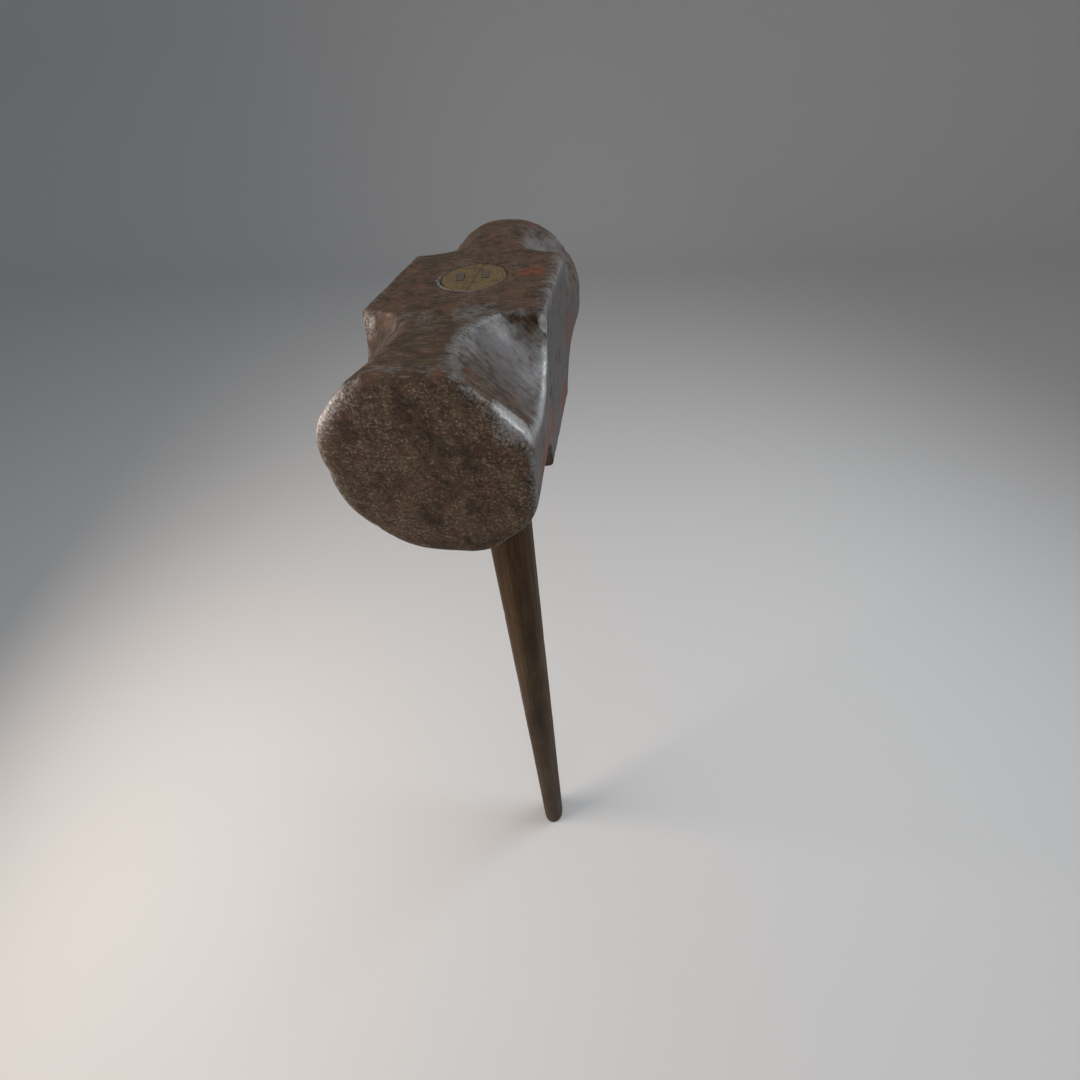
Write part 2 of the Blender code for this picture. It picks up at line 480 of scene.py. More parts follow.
@dataclass(frozen=True)
class WedgeIron:
    """A small iron wedge, dark with scale and rubbed grey on its hammered head."""

    scale: Colour = (0.068, 0.053, 0.042)
    grey: Colour = (0.112, 0.090, 0.070)
    rust: Colour = (0.150, 0.062, 0.034)

    def mix(self) -> bpy.types.Material:
        """Mixes the material.

        Returns:
            The material.
        """
        iron = Recipe("wedge_iron")
        place = iron.place()
        patches = iron.noise(place, 2.4 * MM, 5.0, 0.6)
        grit = iron.noise(place, 0.6 * MM, 4.0, 0.7)
        rubbed = (patches * 0.6 + grit * 0.4).between(0.36, 0.58)
        colour = iron.blend(rubbed, self.scale, self.grey)
        colour = iron.blend(patches.between(0.55, 0.70) * 0.7, colour, self.rust)
        return iron.finish(
            base_color=colour,
            metallic=rubbed * 0.25,
            roughness=0.64 - rubbed * 0.12,
            specular_ior_level=0.25,
            normal=iron.relief(grit + patches, 0.2 * MM, 0.6),
        )


@dataclass(frozen=True)
class StudioPaper:
    """The pale matt sheet that the tool stands on."""

    colour: Colour = (0.68, 0.68, 0.675)

    def mix(self) -> bpy.types.Material:
        """Mixes the material: plain, because it is only the ground."""
        return Recipe("studio_paper").finish(base_color=self.colour, roughness=0.9, specular_ior_level=0.1)


# ---------------------------------------------------------------- mesh tools


def soft_step(low: float, high: float, value: np.ndarray) -> np.ndarray:
    """A smooth step from 0 at low to 1 at high, which may be the lower of the two."""
    share = np.clip((value - low) / (high - low), 0, 1)
    return share * share * (3 - 2 * share)


def ripple(points: np.ndarray, size: float, octaves: int = 1, shift: float = 0.0) -> np.ndarray:
    """Smooth noise at a list of points.

    Args:
        points: the points, in metres.
        size: the size of its swells.
        octaves: how many finer layers are added.
        shift: moves the pattern, so that two ripples differ.

    Returns:
        About -1 to 1 for each point.
    """
    places = points / size + shift
    return np.array([noise.fractal(Vector(place), 0.9, 2.1, octaves) for place in places])


@dataclass
class Skin:
    """A closed skin over rings of equal counts, with a pole at each end, and the marks that it carries."""

    rings: np.ndarray
    poles: np.ndarray
    marks: dict[Mark, np.ndarray] = field(default_factory=dict)

    @property
    def points(self) -> np.ndarray:
        """All the points: the rings' in order, then the two poles."""
        return np.concatenate([self.rings.reshape(-1, 3), self.poles])

    def faces(self) -> list[tuple[int, ...]]:
        """The faces, all turned outwards when the rings run counter-clockwise about the way they go.

        Returns:
            The corners of each face.
        """
        rows, columns = self.rings.shape[:2]
        near = np.arange(rows * columns).reshape(rows, columns)
        far = np.roll(near, -1, axis=1)
        sides = np.stack([near[:-1], far[:-1], far[1:], near[1:]], axis=-1).reshape(-1, 4)
        first, last = rows * columns, rows * columns + 1
        caps = [(first, b, a) for a, b in zip(near[0], far[0])]
        caps += [(last, a, b) for a, b in zip(near[-1], far[-1])]
        return [tuple(map(int, face)) for face in (*sides, *caps)]

    def sink(self, amount: np.ndarray) -> None:
        """Moves each point inwards along its normal.

        Args:
            amount: how far, in metres, for each point.
        """
        mesh = bpy.data.meshes.new("sinking")
        mesh.from_pydata(self.points.tolist(), [], self.faces())
        normals = np.empty(len(mesh.vertices) * 3, np.float32)
        mesh.vertex_normals.foreach_get("vector", normals)
        bpy.data.meshes.remove(mesh)
        moved = self.points - normals.reshape(-1, 3) * amount[:, None]
        self.rings, self.poles = moved[:-2].reshape(self.rings.shape), moved[-2:]

    def build(self, name: str) -> bpy.types.Object:
        """Makes the object, with its marks as attributes.

        Args:
            name: the object's name.

        Returns:
            The object, shaded smooth.
        """
        mesh = bpy.data.meshes.new(name)
        mesh.from_pydata(self.points.tolist(), [], self.faces())
        for mark, values in self.marks.items():
            marked = mesh.attributes.new(mark.value, "FLOAT", "POINT")
            marked.data.foreach_set("value", values.astype(np.float32))
        mesh.shade_smooth()
        made = bpy.data.objects.new(name, mesh)
        bpy.context.scene.collection.objects.link(made)
        return made


@dataclass(frozen=True)
class Dents:
    """A scatter of shallow round blows."""

    count: int
    radii: tuple[float, float]
    depth: float
    seed: int

    def depths(self, points: np.ndarray, where: np.ndarray) -> np.ndarray:
        """How deep the dents are at each point.

        Args:
            points: the surface's points.
            where: how likely a dent is to fall on each point.

        Returns:
            The depth at each point, in metres.
        """
        draw = np.random.default_rng(self.seed)
        centres = points[draw.choice(len(points), self.count, p=where / where.sum())]
        sunk = np.zeros(len(points))
        for centre in centres:
            radius = draw.uniform(*self.radii)
            share = np.linalg.norm(points - centre, axis=1) / radius
            blow = self.depth * draw.uniform(0.4, 1.0) * radius / self.radii[1]
            sunk = np.maximum(sunk, blow * np.clip(1 - share**2, 0, 1) ** 1.5)
        return sunk


def cut(piece: bpy.types.Object, tool: bpy.types.Object, operation: str = "DIFFERENCE") -> None:
    """Cuts a piece with a tool, which is used up.

    Args:
        piece: the piece, whose mesh is replaced by the cut one.
        tool: the cutter.
        operation: the Boolean's operation.
    """
    modifier = piece.modifiers.new("cut", "BOOLEAN")
    modifier.operation = operation
    modifier.object = tool
    graph = bpy.context.evaluated_depsgraph_get()
    mesh = bpy.data.meshes.new_from_object(piece.evaluated_get(graph), depsgraph=graph)
    piece.modifiers.clear()
    before, piece.data = piece.data, mesh
    bpy.data.meshes.remove(before)
    mesh.name = piece.name
    bpy.data.objects.remove(tool)


def dress(piece: bpy.types.Object, finish: Any, node: str) -> bpy.types.Object:
    """Gives a piece its finish and its place in the frame.

    Args:
        piece: the piece, in its place.
        finish: the finish, which mixes its material.
        node: the CAD node that the piece replaces.

    Returns:
        The piece.
    """
    piece.data.materials.clear()
    piece.data.materials.append(finish.mix())
    piece.data.set_sharp_from_angle(angle=SHARP)
    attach(piece, BODY)
    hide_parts(node)
    LOG.info("%s: %d faces, for the node %s", piece.name, len(piece.data.polygons), node)
    return piece


# ---------------------------------------------------------------- the eye


@dataclass(frozen=True)
class Eye:
    """The oval hole through the head: half-sizes along X and Y at its underside, waist and top."""

    bottom: float
    top: float
    underside: tuple[float, float] = (0.0192, 0.0166)
    waist: tuple[float, float] = (0.0172, 0.0148)
    mouth: tuple[float, float] = (0.0181, 0.0155)
    lean: tuple[float, float] = (-0.0032, 0.0006)
    rim: float = 1.2 * MM
    rim_steps: int = 6

    def half_sizes(self, height: float) -> np.ndarray:
        """The eye's half-sizes at a height."""
        share = (height - self.bottom) / (self.top - self.bottom)
        end = self.mouth if share > 0.5 else self.underside
        return np.array(self.waist) + (np.array(end) - self.waist) * (2 * share - 1) ** 2

    def ring(self, height: float, grow: float, sides: int) -> np.ndarray:
        """An oval across the eye at a height, whose middle leans with it.

        Args:
            height: the height, which may be outside the head.
            grow: how much bigger than the eye it is.
            sides: points round it.

        Returns:
            The ring, counter-clockwise from above.
        """
        inside = min(max(height, self.bottom), self.top)
        share = (inside - self.bottom) / (self.top - self.bottom)
        middle = (self.lean[0] * share, self.lean[1] * share)
        return oval(self.half_sizes(inside) + grow, height, sides, middle)

    def cutter(self, overrun: float = 2 * MM, sides: int = 144, steps: int = 24) -> bpy.types.Object:
        """A plug of the eye's shape with both mouths rounded over, running out past the head.

        Args:
            overrun: how far it stands out of the head.
            sides: points round it.
            steps: rings between the two rims.

        Returns:
            The cutter.
        """
        turns = np.linspace(0, math.pi / 2, self.rim_steps + 1)
        flare = self.rim * (1 - np.cos(turns))
        drop = self.rim * (1 - np.sin(turns))
        levels = [(self.top + overrun, self.rim)]
        levels += [(self.top - d, f) for d, f in zip(drop[::-1], flare[::-1])]
        middle = np.linspace(self.top - self.rim, self.bottom + self.rim, steps + 1)[1:-1]
        levels += [(height, 0.0) for height in middle]
        levels += [(self.bottom + d, f) for d, f in zip(drop, flare)]
        levels += [(self.bottom - overrun, self.rim)]
        rings = np.array([self.ring(height, grow, sides) for height, grow in reversed(levels)])
        return Skin(rings, rings[[0, -1]].mean(axis=1)).build("eye_cutter")

    def rim_distance(self, points: np.ndarray) -> np.ndarray:
        """How far points on the head's top are from the edge of the eye, in metres."""
        from_middle = (points[:, :2] - self.lean) / (np.array(self.mouth) + self.rim)
        return np.abs(np.linalg.norm(from_middle, axis=1) - 1) * self.mouth[1]


def oval(
    half_sizes: np.ndarray, height: float, sides: int, middle: tuple[float, float] = (0.0, 0.0)
) -> np.ndarray:
    """An oval ring.

    Args:
        half_sizes: its half-sizes along X and Y.
        height: its height.
        sides: points round it.
        middle: where its middle is along X and Y.

    Returns:
        The ring, counter-clockwise from above.
    """
    turns = np.linspace(0, 2 * math.pi, sides, endpoint=False)
    x, y = half_sizes[0] * np.cos(turns) + middle[0], half_sizes[1] * np.sin(turns) + middle[1]
    return np.stack([x, y, np.full(sides, height)], axis=1)


# ---------------------------------------------------------------- the head


@dataclass(frozen=True)
class Patch:
    """A soft spot on the head: its place from the head's centre and its reach, in millimetres."""

    centre: tuple[float, float, float]
    reach: tuple[float, float, float]
    weight: float = 1.0

    def at(self, points: np.ndarray) -> np.ndarray:
        """How strongly the patch covers each point, from 0 to its weight.

        Args:
            points: points from the head's centre, in metres.

        Returns:
            The cover at each point.
        """
        away = np.linalg.norm((points / MM - self.centre) / self.reach, axis=1)
        return self.weight * soft_step(1.35, 0.45, away)


@dataclass(frozen=True)
class Sample:
    """One section of the head, sampled all round.

    It holds each point's place, its distance from the nearest rounded corner, that corner's radius, and how
    far round the octagon the point faces, in eighths of a turn from +Y.
    """

    outline: np.ndarray
    clear: np.ndarray
    radius: np.ndarray
    turned: np.ndarray

    def by_flat(self, values: Sequence[float]) -> np.ndarray:
        """Spreads eight values, one for each flat of the octagon from +Y round by +Z, over the points.

        Args:
            values: the eight values.

        Returns:
            A value for each point, changing smoothly round each corner.
        """
        flats = np.append(values, values[0])
        return np.interp(self.turned, np.arange(9), flats)

    def edge(self) -> np.ndarray:
        """How far each point is from the middle of the nearest rounded corner, in metres."""
        return self.clear + np.abs(self.turned % 1.0 - 0.5) * self.radius * math.pi / 4


@dataclass
class Head:
    """The forged head: a square block and an end on each side, with corners that are dished into scoops."""

    eye: Eye
    low: Vector
    high: Vector
    block_length: float = 0.070
    block_half: tuple[float, float] = (0.0397, 0.0398)
    end_chamfer: float = 0.0433
    block_chamfer: float = 0.0550
    scoop_depth: float = 0.0048
    scoop_skew: float = 0.85
    shoulder_runout: float = 0.0045
    end_radius: float = 0.0295
    block_radius: float = 0.0028
    rounding: float = 2.2
    roll_depth: float = 0.0030
    roll_widths: tuple[float, ...] = (5.0, 6.5, 6.0, 8.0, 6.5, 5.5, 5.5, 5.0)
    # how bright the face's rim is on each flat, heaviest at the top left: worn metal, partly painted
    # highlights on the rounded rim
    roll_wear_and_glint: tuple[float, ...] = (0.50, 0.50, 0.15, 0.75, 0.50, 0.42, 0.40, 0.42)
    crown: float = 0.0003
    crease_bow: float = 0.0110
    crease_skew: float = 0.6
    crispness: tuple[float, ...] = (0.42, 1.0, 1.0, 0.85)
    rear_radius: float = 0.040
    rear_rounding: float = 1.5
    # how burnished each scoop is, heaviest on the +Y +Z one, partly a painted sheen of the cool light on
    # that side
    burnish_and_sheen: tuple[float, ...] = (0.84, 0.42, 0.45, 0.55)
    # how bright each corner's wear is, heaviest on the +Y edges, where it is partly a painted highlight
    edge_wear_and_glint: tuple[float, ...] = (1.0, 0.80, 0.40, 0.60, 0.50, 0.30, 0.30, 0.50)
    # how burnished each cheek is, heaviest on +Y, partly a painted sheen of the cool light
    cheek_burnish_and_sheen: tuple[float, ...] = (0.76, 0.3, 0, 0.3, 0.55, 0.3, 0, 0.3)
    rear_wear: float = 0.35
    rear_burnish_and_sheen: float = 0.85
    arc_points: int = 17
    columns: int = 44
    turn_share: float = 0.6
    station_crowding: float = 1.6
    block_stations: int = 52
    end_stations: int = 56
    roll_stations: int = 10
    face_stations: int = 24
    paint_patches: tuple[Patch, ...] = (
        Patch((-8, 27, 40), (8, 9, 6), 0.82),
        Patch((31, 40, -17), (12, 8, 9), 0.9),
        Patch((55, 41, -11), (14, 8, 9)),
        Patch((73, 42, -9), (12, 8, 9), 0.9),
        Patch((-45, 41, -3), (14, 8, 12), 0.8),
        Patch((-17, 40, -29), (18, 8, 9)),
        Patch((75, 33, 22), (6, 5, 5), 0.5),
        Patch((-62, -34, -20), (14, 12, 12), 0.8),
        Patch((-30, -40, 8), (13, 6, 10), 0.55),
        Patch((20, -14, -40), (22, 18, 8)),
        Patch((-24, 16, -40), (16, 20, 8)),
        Patch((66, -8, -43), (16, 18, 8), 0.9),
        Patch((-70, 4, -43), (14, 16, 8), 0.9),
    )
    scuffs: tuple[Patch, ...] = (
        Patch((45, 23, 37), (9, 11, 9), 0.62),
        Patch((40, 11, 40), (12, 11, 6), 0.62),
        Patch((46, -14, 40), (12, 14, 6), 0.42),
        Patch((68, 15, 40), (15, 6, 6), 0.70),
        Patch((58, 35, 19), (16, 6, 8), 0.50),
        Patch((40, 38, 28), (5, 4, 11), 0.95),
        Patch((50, -22, 38), (10, 7, 6), 0.45),
        Patch((92, 0, 41), (4, 26, 5), 0.42),
        Patch((-60, 22, 34), (16, 12, 12), 0.55),
        Patch((-50, 5, -41), (12, 14, 6), 0.45),
        Patch((58, 12, -40), (12, 14, 6), 0.45),
    )
    # painted glints and highlights, laid as bright rubbed steel: the near left shoulder, the face's top
    # right rim, and the block's corner and edge above the +Y scoop
    rubs_and_glints: tuple[Patch, ...] = (
        Patch((36, -36, 33), (3, 5, 8), 0.62),
        Patch((93, 35, 23), (6, 12, 13), 0.82),
        Patch((36, 39, 34), (3, 3, 6), 0.90),
        Patch((41, 40, 25), (4, 3, 10), 0.80),
    )

    @property
    def middle(self) -> np.ndarray:
        """The head's centre: the handle's axis where it meets the striking axis."""
        return np.array([0.0, 0.0, (self.low.z + self.high.z) / 2])

    def section(self, half: np.ndarray, chamfer: float, radius: np.ndarray, inset: np.ndarray) -> Sample:
        """A rounded octagon: a rectangle with its corners cut at 45 degrees, and each new corner rounded.

        Args:
            half: half its width and half its height.
            chamfer: how far the four cuts are from the striking axis.
            radius: the rounding at each cut, counter-clockwise from the +Y +Z one.
            inset: how far each of the eight flats is set in.

        Returns:
            The section, with the same number of points in each eighth of a turn.
        """
        away = np.array([half[0], chamfer, half[1], chamfer] * 2) - inset
        normals = np.array([(math.cos(k * math.pi / 4), math.sin(k * math.pi / 4)) for k in range(8)])
        corners = [
            np.linalg.solve(normals[[k, (k + 1) % 8]], away[[k, (k + 1) % 8]]) for k in range(8)
        ]
        parts = []
        for k in range(8):
            start, end = (corners[k - 1] + corners[k]) / 2, (corners[k] + corners[(k + 1) % 8]) / 2
            lines = [k, (k + 1) % 8]
            room = min(np.linalg.norm(corners[k] - start), np.linalg.norm(corners[k] - end))
            rounding = min(radius[k // 2], 0.98 * room / math.tan(math.pi / 8))
            centre = np.linalg.solve(normals[lines], away[lines] - rounding)
            angles = np.linspace(k, k + 1, self.arc_points) * math.pi / 4
            arc = centre + rounding * np.stack([np.cos(angles), np.sin(angles)], axis=1)
            path = np.concatenate([[start], arc, [end]])
            steps = np.linalg.norm(np.diff(path, axis=0), axis=1)
            run = np.concatenate([[0], np.cumsum(steps)])
            turned = np.concatenate([[0, 0], np.linspace(0, 1, self.arc_points)[1:], [1]])
            pace = run / run[-1] + self.turn_share * turned
            wanted = np.arange(self.columns) / self.columns * pace[-1]
            along = np.interp(wanted, pace, run)
            part = np.stack([np.interp(along, run, path[:, 0]), np.interp(along, run, path[:, 1])], axis=1)
            clear = np.maximum(0, np.maximum(run[1] - along, along - run[-2]))
            parts.append((part, clear, rounding, k + np.interp(wanted, pace, turned)))
        return Sample(
            np.concatenate([part[0] for part in parts]),
            np.concatenate([part[1] for part in parts]),
            np.repeat([part[2] for part in parts], self.columns),
            np.concatenate([part[3] for part in parts]),
        )

    def radii(self, share: float, front: bool) -> np.ndarray:
        """How round the four cuts are. The rear end is worn almost to a circle.

        Args:
            share: how far out along the end, from 0 at the block to 1 at the face.
            front: whether it is the front end.

        Returns:
            The rounding at each cut, counter-clockwise from the +Y +Z one.
        """
        if front:
            growth = (self.end_radius - self.block_radius) * share**self.rounding * np.array(self.crispness)
        else:
            growth = (self.rear_radius - self.block_radius) * share**self.rear_rounding * np.ones(4)
        return self.block_radius + growth

    def end_section(self, run: float, share: float, front: bool, rolled: float = 0.0) -> Sample:
        """A section of an end, between the block, at share 0, and the striking face, at 1.

        Args:
            run: the end's length.
            share: how far out the section is.
            front: whether it is the front end.
            rolled: how far the face has rolled over, from 0 to 1.

        Returns:
            The section.
        """
        block = np.array(self.block_half)
        half = block + ((self.high.y - self.low.y) / 2 - block) * math.sin(share * math.pi / 2)
        dish = self.scoop_depth * math.sin(math.pi * share**self.scoop_skew)
        climb = math.exp(-share * run / self.shoulder_runout)
        chamfer = self.end_chamfer - dish + (self.block_chamfer - self.end_chamfer) * climb
        inset = np.array(self.roll_widths) * MM * rolled
        return self.section(half, chamfer, self.radii(share, front), inset)

    def end(self, reach: float, front: bool) -> list[dict[str, Any]]:
        """The rings of one end, from the block's edge out to the middle of its face, lying along +X.

        Args:
            reach: from the handle's axis to the striking face.
            front: whether it is the front end.

        Returns:
            Each ring's place along X, its section, its share of the end, its wear from the roll, whether it
            is part of the face, and the scale of its section.
        """
        depth = self.roll_depth
        run = reach - depth - self.block_length / 2
        rings = []
        for step in range(self.end_stations + 1):
            share = (step / self.end_stations) ** self.station_crowding
            near = 0.7 * math.exp(-(1 - share) * run / (1.5 * MM))
            x, section = self.block_length / 2 + share * run, self.end_section(run, share, front)
            rings.append({"x": x, "section": section, "share": share, "rolled": near,
                          "face": 0.0, "scale": 1.0})
        for step in range(1, self.roll_stations + 1):
            turn = math.pi / 2 * step / self.roll_stations
            x = reach - depth * (1 - math.sin(turn)) - self.crown
            section = self.end_section(run, 1.0, front, 1 - math.cos(turn))
            rings.append({"x": x, "section": section, "share": 1.0, "rolled": math.cos(turn) ** 0.5,
                          "face": math.sin(turn), "scale": 1.0})
        last = rings[-1]["section"]
        for step in range(1, self.face_stations):
            scale = 1 - step / self.face_stations
            rings.append({"x": reach - self.crown * scale**2, "section": last, "share": 1.0, "rolled": 0.0,
                          "face": 1.0, "scale": scale})
        return rings

    def skin(self) -> Skin:
        """The head's whole skin before it is worn, with its marks.

        Returns:
            The skin, whose rings run along +X.
        """
        rear = [{**ring, "x": -ring["x"]} for ring in reversed(self.end(-self.low.x, False))]
        half_block = self.block_length / 2
        inner = np.linspace(-half_block, half_block, self.block_stations + 1)[1:-1]
        front = self.end(self.high.x, True)
        block = [{**front[0], "x": float(x), "rolled": 0.0} for x in inner]
        rings = rear + block + front

        points = [np.column_stack([np.full(len(ring["section"].outline), ring["x"]),
                                   ring["section"].outline * ring["scale"]]) for ring in rings]
        skin = Skin(self.soften(np.array(points)), np.array([[self.low.x, 0, 0], [self.high.x, 0, 0]]))
        marks = [self.marks(ring) for ring in rings]
        for mark in marks[0]:
            middle = 1.0 if mark is Mark.FACE else 0.0
            skin.marks[mark] = np.append(np.concatenate([ring[mark] for ring in marks]), [middle, middle])
        return skin

    def soften(self, rings: np.ndarray, passes: int = 8) -> np.ndarray:
        """Rounds the rim of both faces, by letting each ring near them lean towards its neighbours.

        Args:
            rings: the skin's rings.
            passes: how often.

        Returns:
            The softened rings.
        """
        near = soft_step(10 * MM, 5 * MM, self.high.x - np.abs(rings[1:-1, :1, :1]))
        for _ in range(passes):
            leaning = (rings[:-2] + 2 * rings[1:-1] + rings[2:]) / 4
            rings = np.concatenate([rings[:1], rings[1:-1] + (leaning - rings[1:-1]) * near, rings[-1:]])
        return rings

    def marks(self, ring: Mapping[str, Any]) -> dict[Mark, np.ndarray]:
        """What the steel is like round one ring.

        Args:
            ring: the ring, as end gives it.

        Returns:
            Its marks, apart from the paint.
        """
        section, beyond = ring["section"], abs(ring["x"]) - self.block_length / 2
        steel = 1 - ring["face"]
        on_end = float(soft_step(2 * MM, 7 * MM, np.array(beyond))) * steel
        used, hollow = self.rear_wear, self.rear_burnish_and_sheen * on_end
        if ring["x"] > 0:
            used, hollow = 1.0, math.sin(math.pi * ring["share"] ** 0.52) ** 0.8 * on_end
        first, second, third, last = self.burnish_and_sheen
        scoop = section.by_flat((0, first, 0, second, 0, third, 0, last)) * hollow
        cheek = section.by_flat(self.cheek_burnish_and_sheen) * steel
        edge = section.edge()
        by_edge = np.repeat(self.edge_wear_and_glint, self.columns)
        # border: a pale worn band along each rounded corner, partly a painted soft highlight, heaviest on
        # the upper +Y edge
        border = np.exp(-((edge / (4.5 * MM)) ** 2)) * by_edge * (0.8 + 0.2 * on_end) * steel
        border *= used if beyond > 0 else 1.0
        sharpness = np.sqrt((4 * MM) / (4 * MM + section.radius))
        corner = np.exp(-((edge / (3.2 * MM)) ** 2)) * sharpness * by_edge**3
        corner *= (0.25 + 0.95 * on_end) * used
        # a bright line where each end meets the block: a worn edge, partly a painted highlight
        shoulder_wear_and_glint = math.exp(-abs(beyond) / (1.6 * MM)) * np.exp(-edge / (3.5 * MM)) * 0.6 * by_edge**2
        rolled = ring["rolled"] * section.by_flat(self.roll_wear_and_glint)
        return {
            Mark.WORN: np.maximum.reduce([corner * (ring["scale"] == 1.0), shoulder_wear_and_glint, rolled]),
            Mark.SCOOP: np.maximum(scoop, cheek),
            Mark.BORDER: border,
            Mark.FACE: np.full(len(edge), ring["face"]),
        }

    def bow_creases(self, points: np.ndarray) -> np.ndarray:
        """Lets the swell of each end start further out in the middle of a flat than at its corners.

        Args:
            points: the skin's points, from the head's centre.

        Returns:
            The moved points.
        """
        half, swell = self.block_half[1], (self.high.z - self.low.z) / 2 - self.block_half[1]
        x, y, z = np.abs(points).T
        reach = np.where(points[:, 0] > 0, self.high.x, -self.low.x) - self.roll_depth
        block = self.block_length / 2
        skew = 1 - self.crease_skew * points[:, 1] / half
        start = block + self.crease_bow * skew * np.clip(1 - (y / half) ** 2, 0, 1)
        now = half + swell * np.sin(np.clip((x - block) / (reach - block), 0, 1) * math.pi / 2)
        late = half + swell * np.sin(np.clip((x - start) / (reach - start), 0, 1) * math.pi / 2)
        moved = points.copy()
        moved[:, 2] += np.sign(points[:, 2]) * (late - now) * soft_step(0.86, 1.0, z / now)
        return moved

    def wear(self, skin: Skin) -> None:
        """Wears the skin: forging waves, rust, dents, and chips along the faces' edges. Nothing is added.

        Args:
            skin: the skin, from the head's centre.
        """
        points = skin.points
        face, worn = skin.marks[Mark.FACE], skin.marks[Mark.WORN]
        rolled = np.where(np.abs(points[:, 0]) > 0.089, worn + 0.3, 0) * (1 - face) + TINY
        body = (1 - face) * (np.abs(points[:, 0]) < 0.09) + TINY
        waves = 0.22 * MM * (0.6 + ripple(points, 17 * MM, 2))
        rusted = 0.10 * MM * np.clip(ripple(points, 3.2 * MM, 2, 7.0) + 0.2, 0, 1)
        blows = Dents(90, (1.5 * MM, 5 * MM), 0.35 * MM, 3).depths(points, body)
        struck = Dents(150, (2 * MM, 6 * MM), 0.28 * MM, 5).depths(points, face + TINY)
        chips = Dents(34, (1.5 * MM, 4.5 * MM), 0.9 * MM, 8).depths(points, rolled)
        nicks = Dents(50, (1.0 * MM, 3.0 * MM), 0.55 * MM, 13).depths(points, worn**3 * body)
        skin.sink(np.clip(waves, 0, None) + rusted + blows + struck + chips + nicks)

    def build(self) -> bpy.types.Object:
        """Builds and dresses the head.

        Returns:
            The head.
        """
        skin = self.skin()
        skin.rings = self.bow_creases(skin.rings.reshape(-1, 3)).reshape(skin.rings.shape)
        points = skin.points
        skin.marks[Mark.PAINT] = np.maximum.reduce([patch.at(points) for patch in self.paint_patches])
        for mark, patches in {Mark.BORDER: self.scuffs, Mark.WORN: self.rubs_and_glints}.items():
            covers = [patch.at(points) for patch in patches]
            skin.marks[mark] = np.maximum.reduce([skin.marks[mark], *covers])
        self.wear(skin)
        skin.rings = skin.rings + self.middle
        skin.poles = skin.poles + self.middle
        head = skin.build("forged_head")
        cut(head, self.eye.cutter())
        self.mark_rim_wear_and_glint(head.data)
        return dress(head, ForgedSteel(), "head")

    def mark_rim_wear_and_glint(self, mesh: bpy.types.Mesh) -> None:
        """Marks the eye's upper rim as rubbed bright all round, with a painted highlight that is strongest
        on its near left.

        Args:
            mesh: the head's mesh, with the eye cut.
        """
        points = np.empty(len(mesh.vertices) * 3, np.float32)
        mesh.vertices.foreach_get("co", points)
        points = points.reshape(-1, 3)
        worn = np.empty(len(points), np.float32)
        marks = mesh.attributes[Mark.WORN.value].data
        marks.foreach_get("value", worn)
        side = soft_step(-0.9, 0.9, (points[:, 0] - points[:, 1]) / 0.025)
        near = soft_step(1.2 * MM, 0.2 * MM, self.eye.rim_distance(points))
        rim = near * (points[:, 2] > self.eye.top - 3 * MM) * (0.25 + 0.40 * side)
        marks.foreach_set("value", np.maximum(worn, rim).astype(np.float32))


# ---------------------------------------------------------------- the handle and its wedges

WEDGE_LEVELS = 30  # sections down a wedge
WEDGE_STEPS = 24  # points along a long side of each
OVAL_SIDES = 120  # points round the handle, and round the wedge that is trimmed to the eye


@dataclass(frozen=True)
class WedgeShape:
    """A wedge driven down from the handle's top: its place and turn there, its sizes and its depth."""

    place: tuple[float, float]
    length: float
    thickness: tuple[float, float]
    depth: float
    turn: float = 0.0

    def solid(self, name: str, top: float, grow: float, overrun: float = 0.0) -> bpy.types.Object:
        """The wedge, or with grow the slot that it is driven into.

        Args:
            name: the object's name.
            top: the height of its top.
            grow: how much bigger it is on every side.
            overrun: how far it stands above the top, as a cutter does.

        Returns:
            The object.
        """
        half_x = self.length / 2 + grow
        levels = np.linspace(-self.depth - grow, overrun, WEDGE_LEVELS)
        rings = []
        for level in levels:
            share = min(max(-level / self.depth, 0), 1)
            half_y = (self.thickness[0] + (self.thickness[1] - self.thickness[0]) * share) / 2 + grow
            rings.append(rounded_box(half_x, half_y, min(half_y, 0.5 * MM) * 0.8, WEDGE_STEPS))
        cos, sin = math.cos(self.turn), math.sin(self.turn)
        turned = np.array(rings) @ np.array([[cos, sin], [-sin, cos]])
        placed = [np.column_stack([ring + self.place, np.full(len(ring), top + level)])
                  for ring, level in zip(turned, levels)]
        poles = np.array([(*self.place, top + levels[0]), (*self.place, top + levels[-1])])
        return Skin(np.array(placed), poles).build(name)


def rounded_box(half_x: float, half_y: float, radius: float, steps: int) -> np.ndarray:
    """A box outline with rounded corners, counter-clockwise.

    Args:
        half_x: half its length.
        half_y: half its width.
        radius: the rounding of its corners.
        steps: points along each of its long sides, and a quarter of that along a short side and a corner.

    Returns:
        Its points.
    """
    few = steps // 4
    turns = np.linspace(0, math.pi / 2, few + 1)
    x, y = half_x - radius + radius * np.cos(turns), half_y - radius + radius * np.sin(turns)
    arc = np.stack([x, y], axis=1)
    top = np.linspace(arc[-1], arc[-1] * (-1, 1), steps + 1)[1:-1]
    left = np.linspace(arc[0] * (-1, 1), arc[0] * (-1, -1), few + 1)[1:-1]
    half = np.concatenate([arc, top, arc[::-1] * (-1, 1), left])
    return np.concatenate([half, -half])


